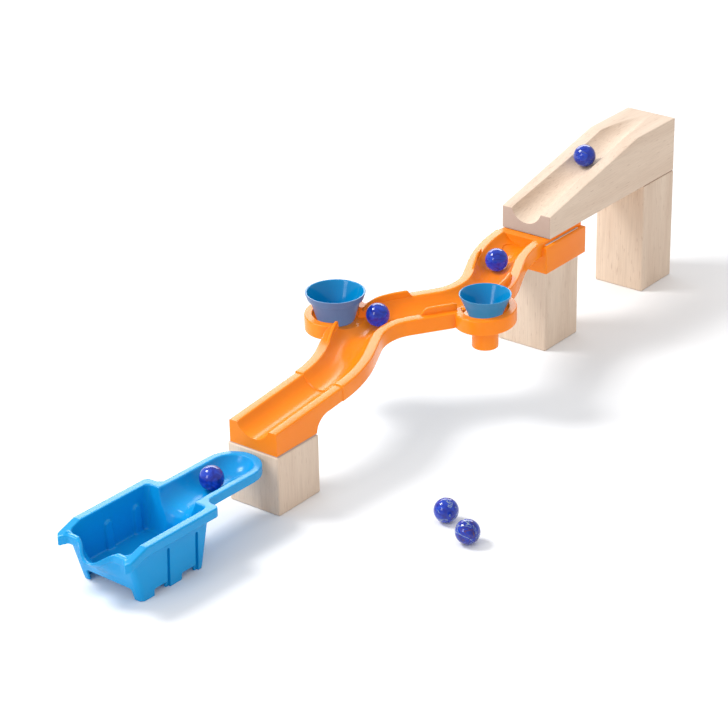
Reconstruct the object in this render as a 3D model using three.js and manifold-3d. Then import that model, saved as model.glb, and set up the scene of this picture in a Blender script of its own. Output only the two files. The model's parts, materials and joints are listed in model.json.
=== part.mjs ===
// Marble run: three beech blocks, a grooved beech ramp, a moulded S-shaped track
// that carries two cups in rings, a scoop that catches the marbles, and six marbles.
// Millimetres, +Z up. The origin is the centre of the front block's underside,
// and +X runs up the track towards the ramp.

import * as THREE from 'three';
import { mergeVertices } from 'three/addons/utils/BufferGeometryUtils.js';
import Module from 'manifold-3d';

const wasm = await Module();
wasm.setup();

// ---------------------------------------------------------------- driving dimensions

const GAP = 0.3;                 // air between pieces that rest on each other

const BLOCK = { side: 40, tall: 80, rearTall: 82.3, ease: 0.8, middleX: 290, rearX: 415 };

const RAMP = {
  length: 160, width: 40, rearTop: 40, frontTop: 16.3, flat: 50,
  rearX: 434.5, grooveR: 12.5, grooveDepth: 9, grooveEnd: 11, ease: 0.8,
};

const TRACK = {
  rise: 0.0955,                  // slope of the rims, per mm of X
  rimZ: 57.3,                    // height of the rims at X = 0
  halfWidth: 19.3, channelHalf: 12.6, channelDepth: 8, wall: 1.8, skirt: 9.6, round: 0.6,
  startX: -19, straight: 66.8, endBendR: 84.5, endBend: 24.4, link: 18.5,
  midBendR: 43.4, midBend: 41.3, middle: 24.9,
  stepAt: 65, stepUp: 0.9, stepOut: 0.6,
  shoeEnd: 20, shoeFillet: 11,
};

const COLLAR = { length: 48.5, width: 46, bottom: 60.5, plate: 2, plateInset: 1, fit: 0.4 };

const RING = { outer: 20.8, inner: 15.4, height: 10, floorDepth: 6.4, stubR: 8.8, stub: 18, boreR: 4.6 };

const GUARD = { height: 4.5, wall: 1.9 };

const MARBLE = { radius: 7.8 };

const SCOOP = {
  rimZ: 38, skirt: 6.2, wall: 1.8, turn: -1.8,
  handleR: 18.6, handleEnd: -20.6, channelR: 14.6, channelDepth: 9.3,
  halfWidth: 30, rearX: -82, breakX: -144, frontX: -160, corner: 4, neckR: 5, earDrop: 0.336,
  bodyHalf: 26, draft: 1.5, floorZ: 8, rearWallX: -85.5, rearLean: 0.18,
  frontFootX: -147.5, frontLean: 0.28, spoutHalf: 17, spoutReach: 10.5,
  lipZ: 33.6, lipDip: 7.4, lipBand: 4.2, lipProud: 1.3,
  feet: [-134.5, -123.8, -111.3, -99.8], footHalf: 18, notch: 4.3,
  fluteX: [-122.6, -98.6], fluteWide: 2.3, fluteDeep: 1.2, fluteTop: 26.4,
};

const COLOURS = {
  beech: 0xe2d0bd, orange: 0xff8714, blue: 0x2f9fe0, cup: 0x0087c3, glass: 0x1c2fa0,
};

// ---------------------------------------------------------------- materials

function material(colour, roughness) {
  return new THREE.MeshStandardMaterial({ color: colour, roughness, metalness: 0 });
}

const beech = material(COLOURS.beech, 0.65);
const orangePlastic = material(COLOURS.orange, 0.3);
const bluePlastic = material(COLOURS.blue, 0.35);
const cupBlue = material(COLOURS.cup, 0.22);
const cobaltGlass = material(COLOURS.glass, 0.08);

// ---------------------------------------------------------------- solids

const radians = THREE.MathUtils.degToRad;

function toSolid(geometry) {
  const bare = geometry.clone();
  bare.deleteAttribute('normal');
  bare.deleteAttribute('uv');
  const merged = mergeVertices(bare, 1e-5);
  const numbers = { numProp: 3 };
  numbers.vertProperties = new Float32Array(merged.attributes.position.array);
  numbers.triVerts = new Uint32Array(merged.index.array);
  return new wasm.Manifold(new wasm.Mesh(numbers));
}

function toGeometry(solid) {
  const mesh = solid.getMesh();
  const geometry = new THREE.BufferGeometry();
  geometry.setAttribute('position', new THREE.BufferAttribute(mesh.vertProperties, 3));
  geometry.setIndex(new THREE.BufferAttribute(mesh.triVerts, 1));
  geometry.computeVertexNormals();
  return geometry;
}

function join(solids) {
  return solids.reduce((whole, piece) => whole.add(piece));
}

function piece(name, geometry, look) {
  const mesh = new THREE.Mesh(geometry, look);
  mesh.name = name;
  return mesh;
}

// A closed skin through rings that all have the same number of points.
function loftSolid(rings) {
  const count = rings[0].length;
  const positions = rings.flat().flatMap((point) => [point.x, point.y, point.z]);
  const triangles = [];
  for (let i = 0; i < rings.length - 1; i += 1) {
    for (let j = 0; j < count; j += 1) {
      const next = (j + 1) % count;
      const a = i * count + j;
      const b = i * count + next;
      triangles.push(a, b, a + count, b, b + count, a + count);
    }
  }
  const first = capTriangles(rings[0]);
  const last = capTriangles(rings[rings.length - 1]);
  const lastStart = (rings.length - 1) * count;
  for (const [a, b, c] of first) triangles.push(c, b, a);
  for (const [a, b, c] of last) triangles.push(lastStart + a, lastStart + b, lastStart + c);
  if (signedVolume(positions, triangles) < 0) triangles.reverse();
  const geometry = new THREE.BufferGeometry();
  geometry.setAttribute('position', new THREE.Float32BufferAttribute(positions, 3));
  geometry.setIndex(triangles);
  return toSolid(geometry);
}

// Triangles of a flat ring, turning the same way as the ring itself.
function capTriangles(ring) {
  const normal = new THREE.Vector3();
  for (let i = 0; i < ring.length; i += 1) {
    normal.add(new THREE.Vector3().crossVectors(ring[i], ring[(i + 1) % ring.length]));
  }
  normal.normalize();
  const side = Math.abs(normal.z) < 0.9 ? new THREE.Vector3(0, 0, 1) : new THREE.Vector3(1, 0, 0);
  const across = new THREE.Vector3().crossVectors(side, normal).normalize();
  const up = new THREE.Vector3().crossVectors(normal, across);
  const flat = ring.map((point) => new THREE.Vector2(point.dot(across), point.dot(up)));
  return THREE.ShapeUtils.triangulateShape(flat, []);
}

function signedVolume(positions, triangles) {
  const corner = (index) => new THREE.Vector3().fromArray(positions, index * 3);
  let six = 0;
  for (let i = 0; i < triangles.length; i += 3) {
    const [a, b, c] = [corner(triangles[i]), corner(triangles[i + 1]), corner(triangles[i + 2])];
    six += a.dot(b.cross(c));
  }
  return six;
}

// A plan outline raised from z0 to z1; lift(x, y) adds to both.
function prism(outline, z0, z1, lift = () => 0) {
  const level = (z) => outline.map(([x, y]) => new THREE.Vector3(x, y, z + lift(x, y)));
  return loftSolid([level(z0), level(z1)]);
}

function boxSolid(x0, x1, y0, y1, z0, z1) {
  const geometry = new THREE.BoxGeometry(x1 - x0, y1 - y0, z1 - z0);
  geometry.translate((x0 + x1) / 2, (y0 + y1) / 2, (z0 + z1) / 2);
  return toSolid(geometry);
}

function arcPoints(cx, cy, radius, from, to, steps) {
  const points = [];
  for (let i = 0; i <= steps; i += 1) {
    const angle = radians(from + ((to - from) * i) / steps);
    points.push([cx + radius * Math.cos(angle), cy + radius * Math.sin(angle)]);
  }
  return points;
}

function discOutline(cx, cy, radius, sides) {
  return arcPoints(cx, cy, radius, 0, 360 - 360 / sides, sides - 1);
}

// ---------------------------------------------------------------- beech blocks

function easedBlock(length, width, height, ease) {
  const x = length / 2;
  const y = width / 2;
  const inset = (by) => [
    [x - by, y], [-x + by, y], [-x, y - by], [-x, -y + by],
    [-x + by, -y], [x - by, -y], [x, -y + by], [x, y - by],
  ];
  const shrink = (1 - (2 * ease) / length);
  const level = (z, scale) => inset(ease).map((at) => new THREE.Vector3(at[0] * scale, at[1] * scale, z));
  return loftSolid([
    level(0, shrink), level(ease, 1), level(height - ease, 1), level(height, shrink),
  ]);
}

function makeBlock(name, x, height) {
  const block = piece(name, toGeometry(easedBlock(BLOCK.side, BLOCK.side, height, BLOCK.ease)), beech);
  block.position.set(x, 0, 0);
  return block;
}

// ---------------------------------------------------------------- beech ramp

const rampFootZ = BLOCK.rearTall + GAP;
const rampFrontX = RAMP.rearX - RAMP.length;
const rampTopZ = rampFootZ + RAMP.rearTop;
const rampBreakX = RAMP.rearX - RAMP.flat;
const rampSlope = (RAMP.rearTop - RAMP.frontTop) / (RAMP.length - RAMP.flat);
const grooveFoot = rampFootZ + RAMP.frontTop - RAMP.grooveDepth;
const grooveRise = 0.2566;       // slope of the groove's bottom along its straight part
const grooveStraight = 72;       // length of that part
const grooveRun = RAMP.length - RAMP.grooveEnd - grooveStraight;

// Height of the groove's bottom, counted along X from the ramp's front face.
function grooveBottom(u) {
  if (u <= grooveStraight) return grooveFoot + grooveRise * u;
  const past = u - grooveStraight;
  const straightTop = grooveFoot + grooveRise * grooveStraight;
  const bend = (straightTop + grooveRise * grooveRun - rampTopZ) / (grooveRun * grooveRun);
  return straightTop + grooveRise * past - bend * past * past;
}

function makeRamp() {
  const e = RAMP.ease;
  const side = [
    [rampFrontX + e, rampFootZ], [RAMP.rearX - e, rampFootZ], [RAMP.rearX, rampFootZ + e],
    [RAMP.rearX, rampTopZ - e], [RAMP.rearX - e, rampTopZ], [rampBreakX, rampTopZ],
    [rampFrontX + e, rampFootZ + RAMP.frontTop + e * rampSlope],
    [rampFrontX, rampFootZ + RAMP.frontTop - e],
    [rampFrontX, rampFootZ + e],
  ];
  const middle = (RAMP.rearX + rampFrontX) / 2;
  const midZ = rampFootZ + 18;
  const slice = (y, inset) => side.map(([x, z]) => new THREE.Vector3(
    middle + (x - middle) * (1 - (2 * inset) / RAMP.length), y, midZ + (z - midZ) * (1 - inset / 18),
  ));
  const half = RAMP.width / 2;
  const wedge = loftSolid([slice(-half, e), slice(-half + e, 0), slice(half - e, 0), slice(half, e)]);
  const stations = [];
  for (let u = -4; u <= RAMP.length + 4; u += u < grooveStraight - 4 ? 19 : 6) stations.push(u);
  const rings = stations.map((u) => discOutline(0, 0, RAMP.grooveR, 40).map(([y, z]) => (
    new THREE.Vector3(rampFrontX + u, y, grooveBottom(u) + RAMP.grooveR + z)
  )));
  return piece('wooden_ramp', toGeometry(wedge.subtract(loftSolid(rings))), beech);
}

// ---------------------------------------------------------------- track path

// The plan path is a chain of straights and arcs, walked by length.
const pathLegs = [
  { length: TRACK.straight, turn: 0 },
  { length: TRACK.endBendR * radians(TRACK.endBend), turn: TRACK.endBend },
  { length: TRACK.link, turn: 0 },
  { length: TRACK.midBendR * radians(TRACK.endBend + TRACK.midBend), turn: -TRACK.endBend - TRACK.midBend },
  { length: TRACK.middle, turn: 0 },
  { length: TRACK.midBendR * radians(TRACK.endBend + TRACK.midBend), turn: TRACK.endBend + TRACK.midBend },
  { length: TRACK.link, turn: 0 },
  { length: TRACK.endBendR * radians(TRACK.endBend), turn: -TRACK.endBend },
  { length: 40, turn: 0 },
];

function pathAt(distance) {
  let x = TRACK.startX;
  let y = 0;
  let heading = 0;
  let left = distance;
  for (const leg of pathLegs) {
    const part = Math.min(left, leg.length);
    const bend = radians(leg.turn) * (part / leg.length);
    if (leg.turn === 0) {
      x += part * Math.cos(heading);
      y += part * Math.sin(heading);
    } else {
      const radius = leg.length / radians(leg.turn);
      x += radius * (Math.sin(heading + bend) - Math.sin(heading));
      y -= radius * (Math.cos(heading + bend) - Math.cos(heading));
    }
    heading += bend;
    left -= part;
    if (left <= 0) break;
  }
  return { x, y, heading };
}

function legStart(index) {
  return pathLegs.slice(0, index).reduce((sum, leg) => sum + leg.length, 0);
}

function rimHeight(x) {
  return TRACK.rimZ + TRACK.rise * x;
}

// A point beside the path: w to the left of it, drop below the rims.
function beside(distance, w, drop) {
  const { x, y, heading } = pathAt(distance);
  const px = x - Math.sin(heading) * w;
  const py = y + Math.cos(heading) * w;
  return new THREE.Vector3(px, py, rimHeight(px) - drop);
}

// ---------------------------------------------------------------- track section

const shoeLength = TRACK.shoeEnd - TRACK.startX;

// Depth of the outer walls: down to the front block, then a fillet up to the skirt.
function wallDepth(distance) {
  const toBlock = rimHeight(TRACK.startX + distance) - BLOCK.side - GAP;
  if (distance <= shoeLength) return toBlock;
  const past = distance - shoeLength;
  if (past >= TRACK.shoeFillet) return TRACK.skirt;
  const rest = TRACK.shoeFillet - past;
  const arc = Math.sqrt(TRACK.shoeFillet ** 2 - rest ** 2) / TRACK.shoeFillet;
  return toBlock + (TRACK.skirt - toBlock) * arc;
}

function channelArc(half, depth, inset, steps) {
  const radius = (half * half + depth * depth) / (2 * depth) + inset;
  const centre = depth - (radius - inset);
  const reach = Math.asin(Math.min(1, half / (radius - inset)));
  const points = [];
  for (let i = 0; i <= steps; i += 1) {
    const angle = -reach + (2 * reach * i) / steps;
    points.push([radius * Math.sin(angle), centre + radius * Math.cos(angle)]);
  }
  return points;
}

// The moulding's section as (w, drop) pairs: rims, channel, skirts and hollow underside.
function trackSection(distance) {
  const low = distance < TRACK.stepAt;
  const up = low ? 0 : TRACK.stepUp;
  const half = TRACK.halfWidth - (low ? TRACK.stepOut : 0);
  const { wall, round, channelHalf, channelDepth } = TRACK;
  const deep = wallDepth(distance);
  const channel = channelArc(channelHalf, channelDepth, 0, 10).map(([w, d]) => [w, d - up]);
  const under = channelArc(channelHalf, channelDepth, wall, 8).map(([w, d]) => [w, d - up]);
  under[0][1] = Math.max(under[0][1], wall - up);
  under[8][1] = under[0][1];
  return [
    [-half, deep], [-half, round - up], [-half + round, -up], [-channelHalf - round, -up],
    ...channel,
    [channelHalf + round, -up], [half - round, -up], [half, round - up], [half, deep],
    [half - wall, deep], [half - wall, wall - up],
    ...under.reverse(),
    [-half + wall, wall - up], [-half + wall, deep],
  ];
}

function trackStations(end) {
  const stations = [0, shoeLength];
  for (let past = 2; past < TRACK.shoeFillet; past += 2.2) stations.push(shoeLength + past);
  stations.push(shoeLength + TRACK.shoeFillet, TRACK.stepAt - 0.02, TRACK.stepAt + 0.02);
  const arcs = [[1, 7], [3, 13], [5, 13], [7, 7]];
  for (const [leg, steps] of arcs) {
    const start = legStart(leg);
    for (let i = 0; i <= steps; i += 1) stations.push(start + (pathLegs[leg].length * i) / steps);
  }
  stations.push(end);
  return stations.sort((a, b) => a - b).filter((at, i, all) => i === 0 || at - all[i - 1] > 0.01);
}

function sweptSection(stations, section) {
  return loftSolid(stations.map((at) => section(at).map(([w, drop]) => beside(at, w, drop))));
}

// ---------------------------------------------------------------- rings, guards and collar

const collarFront = BLOCK.middleX - COLLAR.length / 2;
const collarRear = BLOCK.middleX + COLLAR.length / 2;
const trackEnd = legStart(8) + collarFront - pathAt(legStart(8)).x + 1;

const rings = {
  left: { x: 120, y: 44.7, openFrom: 129, openTo: 157, side: 1 },
  right: { x: 173.1, y: -37.4, openFrom: 201, openTo: 229, side: -1 },
};

function ringTop(ring) {
  return rimHeight(ring.x) + TRACK.stepUp;
}

function ringFloor(ring) {
  return ringTop(ring) - RING.floorDepth;
}

// What is above the channel's surface, between two distances along the path.
function channelRoom(from, to) {
  const steps = Math.ceil((to - from) / 4);
  const stations = Array.from({ length: steps + 1 }, (_, i) => from + ((to - from) * i) / steps);
  const { channelHalf, channelDepth, stepUp } = TRACK;
  const arc = channelArc(channelHalf, channelDepth, 0, 10).map(([w, drop]) => [w, drop - stepUp]);
  return sweptSection(stations, () => [[-channelHalf, -12], ...arc, [channelHalf, -12]]);
}

function ringSolid(ring) {
  const lean = (x) => TRACK.rise * (x - ring.x);
  const top = ringTop(ring);
  const wall = prism(discOutline(ring.x, ring.y, RING.outer, 48), top - RING.height, top, lean);
  const stubTop = ringFloor(ring) - 1;
  const stub = prism(discOutline(ring.x, ring.y, RING.stubR, 32), top - RING.height - RING.stub, stubTop);
  return wall.add(stub);
}

// The room that a cup needs: its well, the gap in the channel's wall beside it, and the bore.
function ringRoom(ring) {
  const floor = ringFloor(ring);
  const well = prism(discOutline(ring.x, ring.y, RING.inner, 48), floor, floor + 30);
  const bore = prism(discOutline(ring.x, ring.y, RING.boreR, 24), floor - 40, floor + 1);
  const halfway = (ring.openFrom + ring.openTo) / 2;
  const edge = [[ring.openFrom, 12], [halfway, 7], [ring.openTo, 12]]
    .map(([at, w]) => beside(at, ring.side * w, 0)).map((point) => [point.x, point.y]);
  const flank = [...edge, [ring.x, ring.y]];
  const gap = prism(ring.side > 0 ? flank : flank.reverse(), floor, floor + 30);
  return join([well, bore, gap]);
}

// A thin wall standing on a rim's inner edge, with its own height at each station.
function guardSolid(side, heights) {
  const inner = TRACK.channelHalf + 0.05;
  return loftSolid(heights.map(([at, height]) => {
    const top = -TRACK.stepUp - height;
    const edge = [[inner, top], [inner + GUARD.wall, top], [inner + GUARD.wall, 0.5], [inner, 0.5]];
    return edge.map(([w, drop]) => beside(at, side * w, drop));
  }));
}

function evenly(from, to, steps, height) {
  return Array.from({ length: steps + 1 }, (_, i) => [from + ((to - from) * i) / steps, height]);
}

function guards() {
  const full = GUARD.height;
  return [
    guardSolid(1, [[111, 0.05], [116, 1.3], [121, 2.6], [125, 3.6], [129, full]]),
    guardSolid(1, [...evenly(157, 175, 5, full), [179, 0.05]]),
    guardSolid(-1, [[179, 0.05], ...evenly(183, 201, 5, full)]),
    guardSolid(-1, [...evenly(229, 242, 4, full), [245, 0.05]]),
  ];
}

function collarSolid() {
  const half = COLLAR.width / 2;
  const plateTop = BLOCK.tall + GAP + COLLAR.plate;
  const plateHalf = BLOCK.side / 2 - COLLAR.plateInset;
  const shell = boxSolid(collarFront, collarRear, -half, half, COLLAR.bottom, BLOCK.tall);
  const room = BLOCK.side / 2 + COLLAR.fit;
  const well = boxSolid(
    BLOCK.middleX - room, BLOCK.middleX + room, -room, room, COLLAR.bottom - 1, plateTop - COLLAR.plate,
  );
  const plate = boxSolid(collarFront, collarRear, -plateHalf, plateHalf, BLOCK.tall - 1, plateTop);
  return shell.add(plate).subtract(well);
}

function makeTrack() {
  const body = sweptSection(trackStations(trackEnd), trackSection);
  const frontWall = sweptSection([0, TRACK.wall], (at) => {
    const half = TRACK.halfWidth - TRACK.stepOut;
    const channel = channelArc(TRACK.channelHalf, TRACK.channelDepth, 0, 10);
    return [[-half, wallDepth(at)], [-half, 1], ...channel, [half, 1], [half, wallDepth(at)]];
  });
  const clear = channelRoom(rings.left.openFrom - 24, rings.right.openTo + 24);
  const ringSolids = [rings.left, rings.right].map((ring) => ringSolid(ring).subtract(clear));
  const moulding = join([body, frontWall, collarSolid(), ...ringSolids, ...guards()]);
  const channelEnd = legStart(8);
  const mouth = sweptSection([channelEnd - 2, trackEnd + BLOCK.side / 2], () => [
    [-TRACK.channelHalf, -12], ...channelArc(TRACK.channelHalf, TRACK.channelDepth, 0, 10)
      .map(([w, d]) => [w, Math.min(d, 12) - TRACK.stepUp]), [TRACK.channelHalf, -12],
  ]);
  const room = BLOCK.side / 2 + COLLAR.fit;
  const block = boxSolid(
    BLOCK.middleX - room, BLOCK.middleX + room, -room, room, 0, BLOCK.tall + GAP,
  );
  const solid = moulding.subtract(ringRoom(rings.left)).subtract(ringRoom(rings.right))
    .subtract(mouth).subtract(block);
  return piece('s_track', toGeometry(solid), orangePlastic);
}

// ---------------------------------------------------------------- cups

// Profiles are (radius, height) above the cup's foot; each starts and ends on the axis.
const cupProfiles = {
  left: [
    [0, -15], [4.3, -15], [4.3, 0], [11.6, 0], [12.2, 0.6], [17.3, 15.9], [18.5, 16.2], [20, 19.9],
    [19.8, 20.3], [18.9, 20.2], [17.3, 16.4], [11.2, 2.6], [10, 1.9], [0, 1.8],
  ],
  right: [
    [0, -15], [4.3, -15], [4.3, 0], [10.2, 0], [11, 0.7], [12.9, 5.2], [15, 10.2], [17.3, 15], [17.2, 15.4],
    [16.3, 15.2], [13.7, 10.2], [11.5, 5.4], [9.8, 2.2], [8.8, 1.8], [0, 1.7],
  ],
};

function makeCup(name, ring, profile) {
  const points = profile.map(([radius, height]) => new THREE.Vector2(radius, height));
  const lathe = new THREE.LatheGeometry(points, 40);
  lathe.rotateX(Math.PI / 2);
  const cup = piece(name, toGeometry(toSolid(lathe)), cupBlue);
  cup.position.set(ring.x, ring.y, ringFloor(ring) + GAP);
  return cup;
}

// ---------------------------------------------------------------- scoop

const scoopEndX = SCOOP.handleEnd - SCOOP.handleR;

// The rim's outline in plan, offset inwards from the outer edge.
function rimOutline(offset) {
  const half = SCOOP.halfWidth - offset;
  const handle = SCOOP.handleR - offset;
  const rear = SCOOP.rearX - offset;
  const corner = Math.max(SCOOP.corner - offset, 0.8);
  const neck = SCOOP.neckR + offset;
  const near = [
    ...arcPoints(scoopEndX, 0, handle, 0, -90, 12),
    ...arcPoints(rear + neck, -handle - neck, neck, 90, 180, 5),
    ...arcPoints(rear - corner, -half + corner, corner, 0, -90, 4),
    [SCOOP.breakX - 0.02, -half],
  ].filter(([x, y], i, all) => i === 0 || Math.hypot(x - all[i - 1][0], y - all[i - 1][1]) > 0.05);
  const far = near.slice(1).reverse().map(([x, y]) => [x, -y]);
  return [...near, ...far].reverse();
}

function earOutline(offset) {
  const half = SCOOP.halfWidth - offset;
  const front = SCOOP.frontX + offset;
  const cut = 3;
  const mouth = front + 4;
  const mouthHalf = SCOOP.bodyHalf - 4;
  return [
    [SCOOP.breakX, -half], [SCOOP.breakX, half], [front + cut, half], [front, half - cut],
    [mouth, mouthHalf], [mouth, -mouthHalf], [front, -half + cut], [front + cut, -half],
  ];
}

function earLift(x) {
  return Math.min(0, SCOOP.earDrop * (x - SCOOP.breakX));
}

function rimSolid() {
  const { rimZ, skirt, wall, breakX, halfWidth } = SCOOP;
  const low = rimZ - skirt;
  const flange = prism(rimOutline(0), low, rimZ).subtract(prism(rimOutline(wall), low - 1, rimZ - wall));
  const ears = prism(earOutline(0), low, rimZ, earLift)
    .subtract(prism(earOutline(wall), low - 1, rimZ - wall, earLift))
    .subtract(boxSolid(breakX - 0.5, breakX + 5, wall - halfWidth, halfWidth - wall, 0, rimZ - wall));
  return flange.add(ears);
}

// 1 in the middle of the front wall, falling smoothly to 0 at the spout's sides.
function spoutShare(y) {
  return Math.abs(y) < SCOOP.spoutHalf ? Math.cos((Math.PI / 2) * (y / SCOOP.spoutHalf)) ** 2 : 0;
}

// Where the front wall's outside is at height z: it leans out, and bulges into the spout.
function frontX(y, z) {
  const swell = Math.min(1.1, Math.max(0, (z - 12) / 14)) ** 1.2;
  return SCOOP.frontFootX - SCOOP.frontLean * (z - SCOOP.floorZ) - SCOOP.spoutReach * swell * spoutShare(y);
}

function sideY(z) {
  return SCOOP.bodyHalf - SCOOP.draft * (1 - z / SCOOP.rimZ);
}

// One level of the basin, a rounded rectangle whose front side follows the spout.
function basinLevel(z, inset) {
  const half = sideY(z) - inset;
  const rear = SCOOP.rearWallX - SCOOP.rearLean * (SCOOP.rimZ - z) - inset;
  const corner = 3.5;
  const front = ([x, y]) => [x + frontX(y, z) + inset + corner, y];
  const points = [
    ...arcPoints(rear - corner, half - corner, corner, 0, 90, 3),
    ...arcPoints(0, half - corner, corner, 90, 180, 3).map(front),
  ];
  for (let i = 5; i >= -5; i -= 1) {
    const y = (SCOOP.spoutHalf * i) / 5;
    points.push([frontX(y, z) + inset, y]);
  }
  points.push(
    ...arcPoints(0, corner - half, corner, 180, 270, 3).map(front),
    ...arcPoints(rear - corner, corner - half, corner, 270, 360, 3),
  );
  return points.map(([x, y]) => new THREE.Vector3(x, y, z));
}

function basinLoft(levels, inset) {
  return loftSolid(levels.map((z) => basinLevel(z, inset)));
}

// The handle's channel and the lip where it rolls over into the basin: discs strung along
// the channel's bottom, each with its tilt from the horizontal.
function channelLoft(radius) {
  const bottom = SCOOP.rimZ - SCOOP.channelDepth;
  const neck = SCOOP.rearX;
  const line = [
    [scoopEndX, bottom, 90], [neck + 10, bottom - 0.8, 89], [neck + 2, bottom - 1.6, 84],
    [neck - 2.5, bottom - 3.1, 70], [neck - 5.6, bottom - 6.1, 50], [neck - 7.6, bottom - 10.7, 25],
    [neck - 8.6, SCOOP.floorZ + SCOOP.wall, 8],
  ];
  const slices = line.map(([x, z, tilt]) => {
    const ahead = -Math.cos(radians(tilt));
    const up = Math.sin(radians(tilt));
    return discOutline(0, 0, radius, 32).map(([y, v]) => (
      new THREE.Vector3(x + (SCOOP.channelR + v) * ahead, y, z + (SCOOP.channelR + v) * up)
    ));
  });
  const ball = new THREE.SphereGeometry(radius, 28, 18);
  ball.rotateX(Math.PI / 2);
  ball.translate(scoopEndX, 0, bottom + SCOOP.channelR);
  return loftSolid(slices).add(toSolid(ball));
}

// A straight cut across the scoop, with its outline in the XZ plane.
function crossCutter(outline) {
  const slice = (y) => outline.map(([x, z]) => new THREE.Vector3(x, y, z));
  return loftSolid([slice(-2 * SCOOP.halfWidth), slice(2 * SCOOP.halfWidth)]);
}

// A straight cut along the scoop through its front, with its outline in the YZ plane.
function frontCutter(outline, to) {
  const slice = (x) => outline.map(([y, z]) => new THREE.Vector3(x, y, z));
  return loftSolid([slice(SCOOP.frontX - 30), slice(to)]);
}

// The handle's trough, and the rolled lip as far as the rear wall's inside.
function chuteSolid() {
  const { rimZ, wall, floorZ, rearWallX, handleEnd, handleR } = SCOOP;
  const trough = channelLoft(SCOOP.channelR + wall);
  const handleRoom = boxSolid(rearWallX - 12, handleEnd + 5, 1 - handleR, handleR - 1, floorZ, rimZ);
  const inBasin = crossCutter([
    [rearWallX - wall, rimZ], [rearWallX - wall, 70], [rearWallX - 80, 70], [rearWallX - 80, 0],
    [rearWallX - wall - SCOOP.rearLean * rimZ, 0],
  ]);
  return trough.intersect(handleRoom).subtract(inBasin);
}

function fluteOutline(x, width, top) {
  const arc = arcPoints(x, top - width / 2, width / 2, 0, 180, 6);
  return [[x - width / 2, -1], [x + width / 2, -1], ...arc];
}

// An upright bar against a side wall, between two depths from the wall's outside.
function fluteBar(side, outline, from, to) {
  const slice = (depth) => outline.map(([x, z]) => new THREE.Vector3(x, side * (sideY(z) - depth), z));
  return loftSolid([slice(from), slice(to)]);
}

// The front edge's height, which dips to the spout in the middle.
function lipHeight(y) {
  return SCOOP.lipZ - SCOOP.lipDip * spoutShare(y);
}

function lipEdge(drop) {
  return Array.from({ length: 21 }, (_, i) => [2.5 * (i - 10), lipHeight(2.5 * (i - 10)) - drop]);
}

// The band under the front edge that stiffens it.
function lipBand() {
  const outline = [...lipEdge(SCOOP.lipBand), ...lipEdge(0).reverse()];
  const proud = basinLoft([16, 20, 24, 28, 32, 36], -SCOOP.lipProud);
  return proud.intersect(frontCutter(outline, SCOOP.breakX - 4));
}

function footCutters() {
  const wide = SCOOP.halfWidth;
  const { notch, floorZ, footHalf, feet } = SCOOP;
  return [
    boxSolid(feet[0], feet[1], -wide, wide, -1, notch),
    boxSolid(feet[2], feet[3], -wide, wide, -1, notch),
    boxSolid(SCOOP.frontX, feet[0] - 6, -footHalf, footHalf, -1, floorZ),
    boxSolid(SCOOP.rearWallX - 10, SCOOP.rearWallX + 10, -footHalf, footHalf, -1, floorZ),
  ];
}

function makeScoop() {
  const { rimZ, wall, floorZ, breakX, fluteX, fluteWide, fluteDeep, fluteTop } = SCOOP;
  const outside = basinLoft([0, 8, 14, 20, 26, 30, 34, rimZ], 0);
  const hollow = basinLoft([floorZ + wall, 14, 20, 26, 30, 34, rimZ, rimZ + 6], wall);
  const under = basinLoft([-1, floorZ], wall);
  let solid = join([rimSolid(), outside, lipBand()]).subtract(hollow).subtract(under);
  const flutes = fluteX.flatMap((x) => [[x, 1], [x, -1]]);
  for (const [x, side] of flutes) {
    const rib = fluteOutline(x, fluteWide + 2 * fluteDeep, fluteTop + fluteDeep);
    const ribRoom = boxSolid(x - 10, x + 10, -SCOOP.halfWidth, SCOOP.halfWidth, floorZ, rimZ);
    solid = solid.add(fluteBar(side, rib, wall / 2, wall + fluteDeep).intersect(ribRoom));
    solid = solid.subtract(fluteBar(side, fluteOutline(x, fluteWide, fluteTop), fluteDeep, -1));
  }
  const aboveFloor = boxSolid(SCOOP.frontX, 0, -wall * 20, wall * 20, floorZ + wall, rimZ * 2);
  const overEars = crossCutter([
    [breakX, rimZ], [breakX, 70], [breakX - 46, 70], [breakX - 46, rimZ - 46 * SCOOP.earDrop],
  ]);
  const overLip = frontCutter([[-25, 70], ...lipEdge(0), [25, 70]], breakX - 9.5);
  const cutters = [channelLoft(SCOOP.channelR).intersect(aboveFloor), overEars, overLip, ...footCutters()];
  solid = cutters.reduce((rest, cutter) => rest.subtract(cutter), solid.add(chuteSolid()));
  return piece('scoop', toGeometry(solid), bluePlastic);
}

// ---------------------------------------------------------------- marbles

function makeMarble(name, x, y, z) {
  const ball = new THREE.SphereGeometry(MARBLE.radius, 20, 12);
  ball.rotateX(Math.PI / 2);
  const marble = piece(name, toGeometry(toSolid(ball)), cobaltGlass);
  marble.position.set(x, y, z);
  return marble;
}

// A marble in the track's channel, at a distance along the path.
function trackMarble(name, distance) {
  const point = beside(distance, 0, TRACK.channelDepth - TRACK.stepUp - MARBLE.radius - GAP);
  return makeMarble(name, point.x, point.y, point.z);
}

function rampMarble(name, u) {
  return makeMarble(name, rampFrontX + u, 0, grooveBottom(u) + MARBLE.radius + 2 * GAP);
}

// ---------------------------------------------------------------- assembly

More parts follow.
